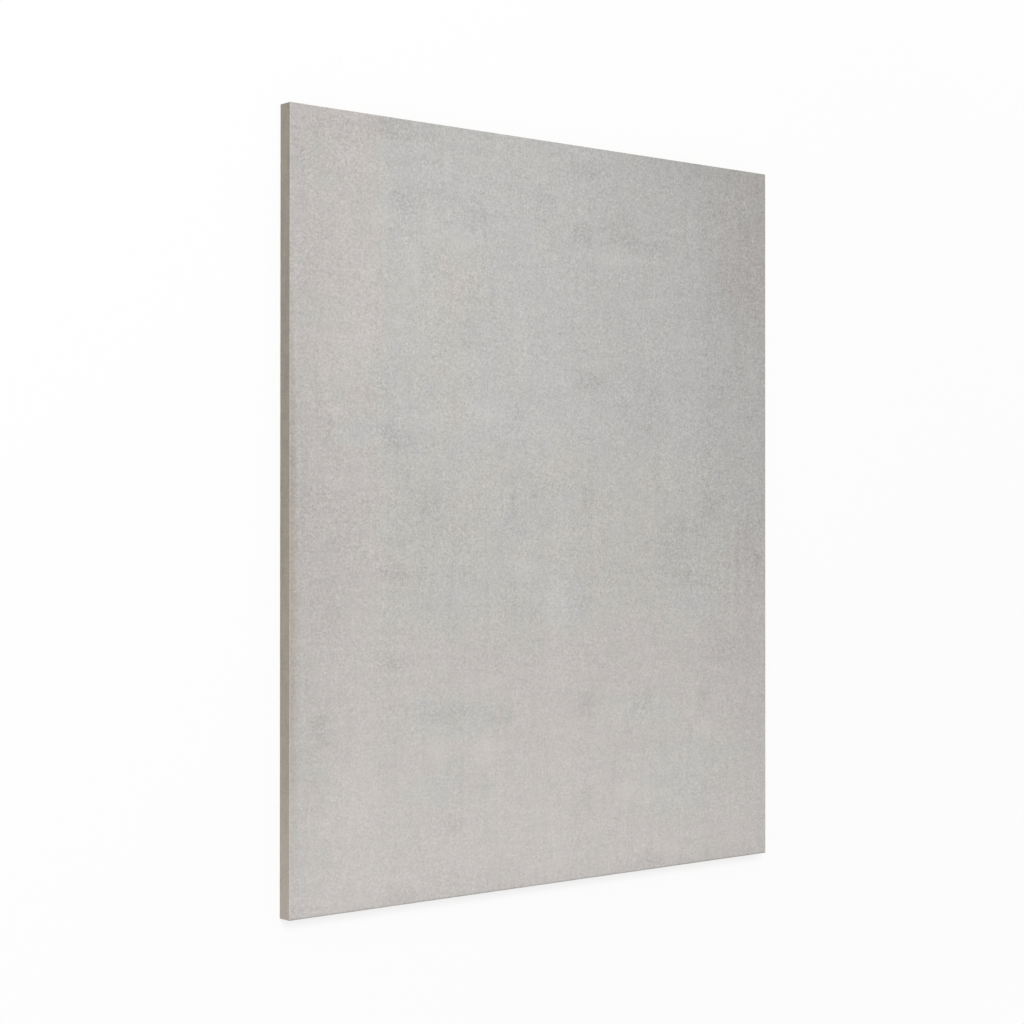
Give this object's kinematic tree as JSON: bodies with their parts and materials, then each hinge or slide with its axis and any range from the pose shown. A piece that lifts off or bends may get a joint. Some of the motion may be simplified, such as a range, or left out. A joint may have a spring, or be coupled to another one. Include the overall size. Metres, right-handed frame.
{
  "type": "cement board",
  "caption": "Flat rectangular sheet of light grey cement with a smooth clouded face and square sawn edges, for cladding, flooring or lining.",
  "frame": {"origin": "centre of the back face, which is what the board lies on", "axes": "+X across the board, +Y along its length, +Z out of the smooth front face"},
  "size_m": [1, 1.2, 0.025],
  "materials": {
    "cement": "matte"
  },
  "bodies": {
    "root": {"cement_board": "cement"}
  },
  "joints": []
}
